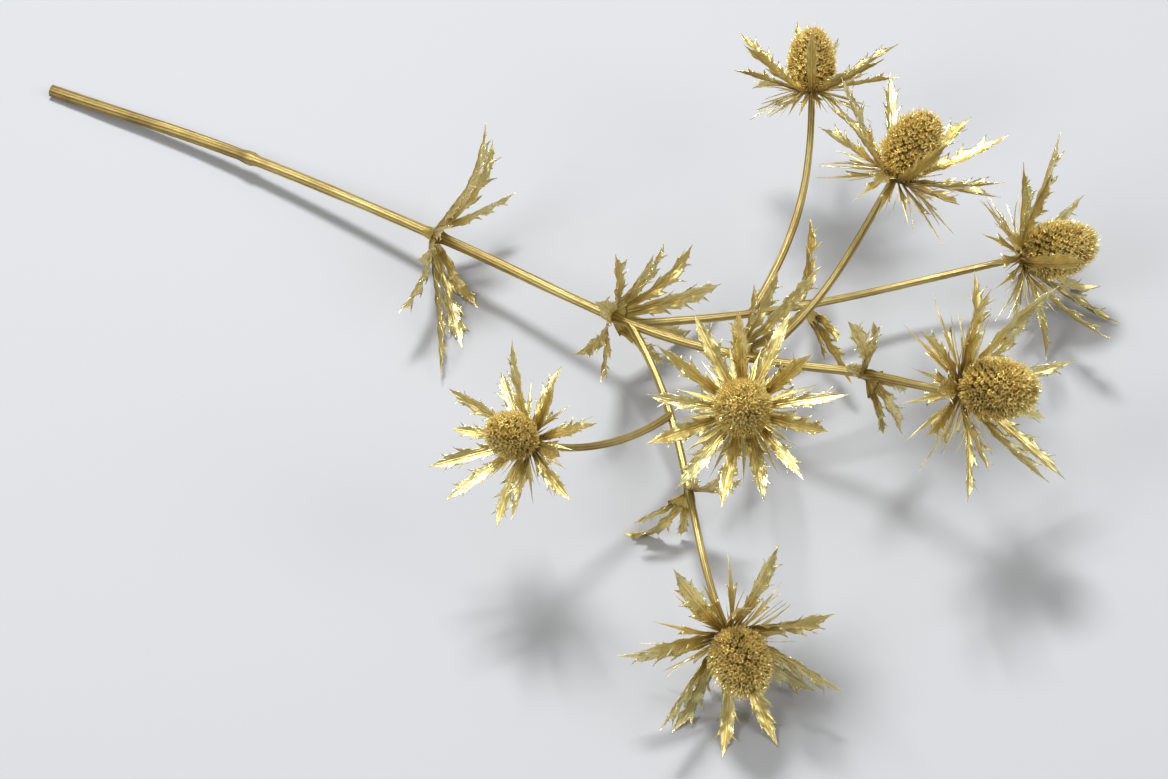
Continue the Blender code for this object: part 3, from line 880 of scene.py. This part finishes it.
class LeafBase:
    """Where a leaf clasps its stem: the stem's frame, the sheath's radii and the edges of the lobes."""

    def __init__(self, node, turn, line):
        self.lobes = node.lobes
        self.point, self.way = line.at(node.place * MM)
        self.thin = line.radius(node.place * MM)
        self.swollen = self.thin * (1 + NODE_SWELLING)
        self.sideways = Vector((0, 0, 1)).cross(self.way).normalized()
        self.outwards = self.way.cross(self.sideways)
        self.inner, self.outer = self.swollen + GAP * 1.6, self.swollen + LEAF_RIM
        self.middle = math.radians(turn)
        self.cover = LEAF_COVER * (1 if node.lobes > 3 else SMALL_LEAF_COVER)
        self.edges = [self.middle + self.cover * (k / node.lobes - 0.5) for k in range(node.lobes + 1)]
        self.rise = (self.outer - self.inner) * math.tan(math.radians(node.rise) * 0.8)

    def levels(self):
        """The rings, from flush with the stem to where the lobes part: radius, and height in millimetres."""
        depth = self.outer - self.inner
        return (
            (self.thin * 1.04, -7.0),
            (self.swollen * 0.98, -3.6),
            (self.inner, -1.0),
            (self.inner + depth * 0.35, -0.1),
            (self.inner + depth * 0.7, 0.45 * self.rise / MM),
            (self.outer + 0.4 * MM, self.rise / MM),
        )


def add_sheath(mesh, base):
    """The smooth sheath, folded between the lobes, that clasps the stem."""
    count = SHEATH_POINTS * base.lobes + 1
    spread = np.linspace(base.edges[0] - SHEATH_OVERLAP, base.edges[-1] + SHEATH_OVERLAP, count)
    ray = np.outer(np.cos(spread), base.sideways) + np.outer(np.sin(spread), base.outwards)
    place_on = (spread - base.edges[0]) / (base.edges[-1] - base.edges[0]) * base.lobes
    lobe = np.cos(place_on * 2 * math.pi)
    tuck = np.clip((np.abs(spread - base.middle) - base.cover / 2 + 0.12) / 0.22, 0, 1) * SHEATH_TUCK
    levels = base.levels()
    last = len(levels) - 1
    sheets = []
    for half in (SHEATH_HALF, -SHEATH_HALF):
        rows = []
        for number, (radius, level) in enumerate(levels):
            swell = lobe * SHEATH_SWELL * (number / last)
            thinned = SHEATH_THIN_RIM if number == last else 1.0
            height = level * MM + half * thinned * MM - swell - tuck * 0.5
            rows.append(np.array(base.point) + ray * radius + np.outer(height, base.way))
        sheets.append(np.concatenate(rows))
    points = np.concatenate(sheets)
    points[:, 2] = np.maximum(points[:, 2], 0)

    upper = np.arange(len(levels) * count).reshape(len(levels), count)
    lower = upper + upper.size
    loop = np.concatenate([upper[:, 0][::-1], upper[0, 1:], upper[1:, -1], upper[-1, ::-1][1:]])
    below = loop + upper.size
    rim = np.stack([loop[:-1], loop[1:], below[1:], below[:-1]], axis=-1)
    # The tone: lighter and darker bands round the sheath, and painted shade where it meets the stem.
    folds = np.cos(place_on * 6 * math.pi)
    shade = np.tile(0.58 + 0.14 * folds, (len(levels), 1))
    shade = shade - 0.12 * np.exp(-np.arange(len(levels)) / 1.2)[:, None]
    mesh.add(points, [*sheet_faces(upper, lower), rim], np.tile(shade.ravel(), 2), 0.12)


def build_leaf(node, index, line, paint):
    """One palmate leaf: a sheath that divides into toothed lobes."""
    seed = LEAF_NODES.index(node) * 10 + index
    draw = random.Random(SEED * 1000 + seed)
    look = random.Random(SEED * 8000 + seed)
    base = LeafBase(node, node.turns[index], line)
    mesh = Mesh()
    add_sheath(mesh, base)
    outermost = (node.lobes - 1) / 2
    for k in range(node.lobes):
        lobe = lobe_blade(draw, node.length, abs(k - outermost) / max(outermost, 1))
        lobe = lobe._replace(rise=math.radians(node.rise + draw.uniform(-8, 10)))
        rays = [base.sideways * math.cos(a) + base.outwards * math.sin(a) for a in base.edges[k : k + 2]]
        ray = (rays[0] + rays[1]).normalized()
        root = base.point + (rays[0] + rays[1]) / 2 * base.outer + base.way * base.rise
        half = (rays[1] - rays[0]).length * base.outer / 2
        fine_blade(mesh, look, (root, ray, base.way), lobe, half * 1.08, LOBE_STYLE)
    mesh.make(f"{node.name}_{index + 1}_lobes", f"{node.name}_{index + 1}", paint)


def add_cap(mesh, ring, middle, facing_back):
    """A flat end that closes a tube."""
    points = np.concatenate([ring, middle + (ring - middle) * CAP_HOLE])
    quads = grid_faces(2, len(ring), True)
    mesh.add(points, [quads[:, ::-1] if facing_back else quads], 0.5)


def add_cut_face(mesh, ring, middle, way, look):
    """The cut end: a ragged rim round the sunken pith."""
    sides = len(ring)
    rings, tones = [ring], [np.full(sides, 0.7)]
    for share, depth, tone in CUT_RINGS:
        jag = np.array([look.uniform(-0.12, 0.12) for _ in range(sides)])
        rings.append(middle + (ring - middle) * share + np.outer((depth + jag) * MM, way))
        tones.append(np.full(sides, tone))
    faces = [grid_faces(len(rings), sides, True)[:, ::-1]]
    mesh.add(np.concatenate(rings), faces, np.concatenate(tones))


def add_tube(mesh, line, ribs, nodes, look, cut=False):
    """A ribbed, tapering stem, swollen and ringed at its nodes. cut: it starts at the cut end."""
    sides = ribs * POINTS_PER_RIB
    count = int(line.length / RING_SPACING)
    theta = full_turn(sides)
    wander = [look.uniform(0, CYCLE) for _ in range(6)]
    rows, tones, grain = [], [], []
    for stop in np.linspace(0, line.length, count + 1):
        middle, _ = line.at(stop)
        way = line.smooth_way(stop)
        side = Vector((0, 0, 1)).cross(way).normalized()
        rise = way.cross(side)
        run = stop / MM

        # The node's swelling, and the ring just past it.
        near = max([1 - abs(stop - node) / NODE_REACH for node in nodes] + [0.0])
        swell = 1 + NODE_SWELLING * (3 * near**2 - 2 * near**3)
        past = [(stop - node - NODE_RING_PLACE) / NODE_RING_WIDTH for node in nodes]
        swell += NODE_RING_HEIGHT * sum(math.exp(-(away**2)) for away in past)
        radius = line.radius(stop) * swell

        # The ribs, which wind slowly round the stem, and finer unevenness.
        rib = np.cos(ribs * (theta + 0.35 * math.sin(run / 60 + wander[0])))
        deep = RIB_DEPTH * (1 - 0.6 * near)
        fine = 0.012 * np.sin(theta * ribs * 2 + run * 0.31 + wander[1]) * math.sin(run / 3.7 + wander[2])
        dent = 0.02 * np.sin(theta * 2 + run / 11 + wander[3]) + 0.014 * math.sin(run / 5.3 + wander[4])
        around = radius * (1.0 + deep * rib - deep * 0.4 + fine + dent)
        points = np.array(middle) + np.outer(np.cos(theta) * around, side)
        points += np.outer(np.sin(theta) * around, rise)
        points[:, 2] = np.maximum(points[:, 2], 0)
        rows.append(points)
        # The tone: painted shade in the grooves between the ribs, slow changes along the stem, darker on a
        # node's swelling, and thinner paint near the cut end.
        cover = 1 - (THIN_PAINT if cut else 0.0) * (1 - min(stop / THIN_PAINT_REACH, 1))
        tone = 0.62 + 0.15 * rib + 0.08 * math.sin(run / 9 + wander[5]) - 0.2 * near * (1 - near)
        tones.append(tone * cover)
        grain.append(np.stack([np.full(sides, run), theta * radius / MM], axis=-1))
    tone = np.concatenate(tones)
    faces = [grid_faces(count + 1, sides, True)]
    pale = np.clip(tone - 0.3, 0, 1)
    mesh.add(np.concatenate(rows), faces, np.clip(tone, 0, 1), pale, np.concatenate(grain))
    start, way = line.at(0)
    if cut:
        add_cut_face(mesh, rows[0], np.array(start), way, look)
    else:
        add_cap(mesh, rows[0], np.array(start), True)
    add_cap(mesh, rows[-1], np.array(line.at(line.length)[0]), False)


def build_stem(lines, paint):
    """The main stem and its branches as one ribbed piece."""
    look = random.Random(SEED * 6000)
    mesh = Mesh()
    nodes = sorted({node.place * MM for node in LEAF_NODES if node.parent == "stem"} | {LEAF_SCAR})
    add_tube(mesh, lines["stem"], STEM_RIBS, nodes, look, cut=True)
    for head in HEADS:
        if head.fork is None:
            continue
        nodes = [node.place * MM for node in LEAF_NODES if node.parent == head.name]
        add_tube(mesh, lines[head.name], BRANCH_RIBS, nodes, look)
    mesh.make("ribbed_stem", "stem", paint)


class Paint:
    """A material in the making, with short ways to add its nodes."""

    def __init__(self, name):
        self.made = bpy.data.materials.new(name)
        self.made.use_nodes = True
        self.nodes, self.links = self.made.node_tree.nodes, self.made.node_tree.links
        self.shader = self.nodes["Principled BSDF"]

    def node(self, kind, **inputs):
        """A new node. inputs: its sockets by name, each with a number or with what it is linked to."""
        node = self.nodes.new(kind)
        for name, item in inputs.items():
            self.feed(node.inputs[name.replace("_", " ")], item)
        return node

    def feed(self, socket, item):
        if isinstance(item, (int, float)):
            socket.default_value = item
        else:
            self.links.new(item, socket)

    def value(self, label):
        """One of the mesh's own shading values."""
        node = self.nodes.new("ShaderNodeAttribute")
        node.attribute_name = label
        return node.outputs["Fac"]

    def maths(self, operation, a, b):
        node = self.nodes.new("ShaderNodeMath")
        node.operation = operation
        for socket, item in zip(node.inputs, (a, b)):
            self.feed(socket, item)
        return node.outputs[0]

    def total(self, first, *others):
        for other in others:
            first = self.maths("ADD", first, other)
        return first

    def times(self, item, amount):
        return self.maths("MULTIPLY", item, amount)

    def spread(self, fac, amount):
        """A noise of 0 to 1 as a change of either sign."""
        return self.times(self.maths("SUBTRACT", fac, 0.5), amount)

    def noise(self, scale, detail, vector=None):
        where = vector or self.nodes.new("ShaderNodeTexCoord").outputs["Object"]
        node = self.node("ShaderNodeTexNoise", Scale=scale, Detail=detail, Roughness=0.6, Vector=where)
        return node.outputs["Fac"]

    def ramp(self, fac, low, high, between):
        """A colour ramp through three stops, each a position and a colour."""
        node = self.node("ShaderNodeValToRGB", Fac=fac)
        elements = node.color_ramp.elements
        for element, (position, colour) in zip(elements, (low, high)):
            element.position, element.color = position, (*colour, 1)
        position, colour = between
        elements.new(position).color = (*colour, 1)
        return node.outputs["Color"]


def gold_paint(name, gold):
    """Gold paint: dark in recesses, from thin paint and painted shade, warm at the roots of the blades, pale
    at their tips.
    """
    paint = Paint(name)

    # Fine wrinkles run along each blade.
    along = paint.times(paint.value("along"), 0.10)
    drift = paint.times(paint.noise(180, 2), 3.0)
    grain = paint.node("ShaderNodeCombineXYZ", X=along, Y=paint.value("across"), Z=drift)
    fibre = paint.noise(gold.grain, 4, grain.outputs[0])
    patches = paint.noise(70, 3)
    grit = paint.noise(1500, 3)

    changes = (paint.spread(patches, 0.45), paint.spread(fibre, 0.46), paint.spread(grit, 0.20))
    tone = paint.total(paint.value("tone"), *changes)
    # The tone carries painted shade and painted highlight from the mesh: low tones take the dark and deep
    # colours.
    warm = paint.ramp(tone, (0.06, gold.deep), (0.78, gold.warm), (0.40, gold.dark))
    pale = paint.ramp(tone, (0.06, gold.dark), (0.86, gold.pale), (0.46, gold.warm))
    mixed = paint.nodes.new("ShaderNodeMix")
    mixed.data_type = "RGBA"
    tint = paint.total(paint.value("tint"), paint.spread(patches, 0.5))
    for socket, item in (("Factor", tint), ("A", warm), ("B", pale)):
        paint.links.new(item, mixed.inputs[socket])
    paint.feed(paint.shader.inputs["Base Color"], mixed.outputs["Result"])

    bare = paint.times(paint.maths("SUBTRACT", 1.0, tone), 0.28)
    rough = paint.total(bare, gold.roughness, paint.spread(grit, 0.22))
    paint.feed(paint.shader.inputs["Roughness"], rough)
    metal = paint.node("ShaderNodeMapRange", From_Min=0.05, From_Max=0.6, Value=tone)
    paint.feed(metal.inputs["To Min"], gold.metallic * 0.4)
    paint.feed(metal.inputs["To Max"], gold.metallic)
    paint.feed(paint.shader.inputs["Metallic"], metal.outputs[0])

    height = paint.total(paint.times(fibre, 0.75), paint.times(grit, 0.20))
    bump = paint.node("ShaderNodeBump", Strength=0.6, Distance=0.35 * MM, Height=height)
    paint.feed(paint.shader.inputs["Normal"], bump.outputs["Normal"])
    return paint.made


def build_floor():
    """A pale floor just under the plant."""
    mesh = bpy.data.meshes.new("floor")
    corners = ((-1, -1), (1, -1), (1, 1), (-1, 1))
    points = [(x * FLOOR_HALF, y * FLOOR_HALF, -FLOOR_DEPTH) for x, y in corners]
    mesh.from_pydata(points, [], [(0, 1, 2, 3)])
    paint = Paint("floor_grey")
    paint.shader.inputs["Base Color"].default_value = (*FLOOR_COLOUR, 1)
    paint.shader.inputs["Roughness"].default_value = FLOOR_ROUGHNESS
    mesh.materials.append(paint.made)
    floor = add_object("floor", mesh)


def build_sky():
    """Soft light all round, brighter from above."""
    world = bpy.data.worlds.new("studio")
    world.use_nodes = True
    nodes, links = world.node_tree.nodes, world.node_tree.links
    way = nodes.new("ShaderNodeTexCoord").outputs["Generated"]
    height = nodes.new("ShaderNodeSeparateXYZ")
    sky = nodes.new("ShaderNodeValToRGB")
    for element, position, shade in zip(sky.color_ramp.elements, SKY_HEIGHTS, SKY_SHADES):
        element.position, element.color = position, (shade, 0.99 * shade, 0.96 * shade, 1)
    links.new(way, height.inputs[0])
    links.new(height.outputs["Z"], sky.inputs["Fac"])
    links.new(sky.outputs["Color"], nodes["Background"].inputs["Color"])
    nodes["Background"].inputs["Strength"].default_value = SKY_STRENGTH
    bpy.context.scene.world = world


def build_light(name, position, size, power):
    data = bpy.data.lights.new(name, "AREA")
    data.shape = "RECTANGLE"
    data.size, data.size_y = size
    data.energy = power
    light = add_object(name, data)
    light.location = position
    light.rotation_euler = (Vector(LIGHT_TARGET) - Vector(position)).to_track_quat("-Z", "Y").to_euler()


def build_camera():
    """A long lens that looks down on the stem."""
    data = bpy.data.cameras.new("camera")
    data.lens = LENS
    data.sensor_width = SENSOR
    data.clip_end = VIEW_END
    camera = add_object("camera", data)
    back = spot(VIEW_AZIMUTH, math.cos(VIEW_ELEVATION), math.sin(VIEW_ELEVATION))
    camera.location = Vector(VIEW_TARGET) + back * VIEW_DISTANCE
    camera.rotation_euler = (-back).to_track_quat("-Z", "Y").to_euler()
    scene = bpy.context.scene
    scene.camera = camera
    scene.view_settings.view_transform = "Standard"
    scene.view_settings.exposure = 0.0


build_floor()
build_sky()
for light_name, (light_place, light_size, light_power) in LIGHTS.items():
    build_light(light_name, light_place, light_size, light_power)
build_camera()

BRACT_PAINT = gold_paint("bract_paint", BRACT_GOLD)
CONE_PAINT = gold_paint("cone_paint", CONE_GOLD)
STEM_PAINT = gold_paint("stem_paint", STEM_GOLD)
LINES = stem_lines()
build_stem(LINES, STEM_PAINT)
for leaf_node in LEAF_NODES:
    for leaf_index in range(len(leaf_node.turns)):
        build_leaf(leaf_node, leaf_index, LINES[leaf_node.parent], BRACT_PAINT)
for flower_head in HEADS:
    build_collar(flower_head, BRACT_PAINT)
    build_cone(flower_head, CONE_PAINT)
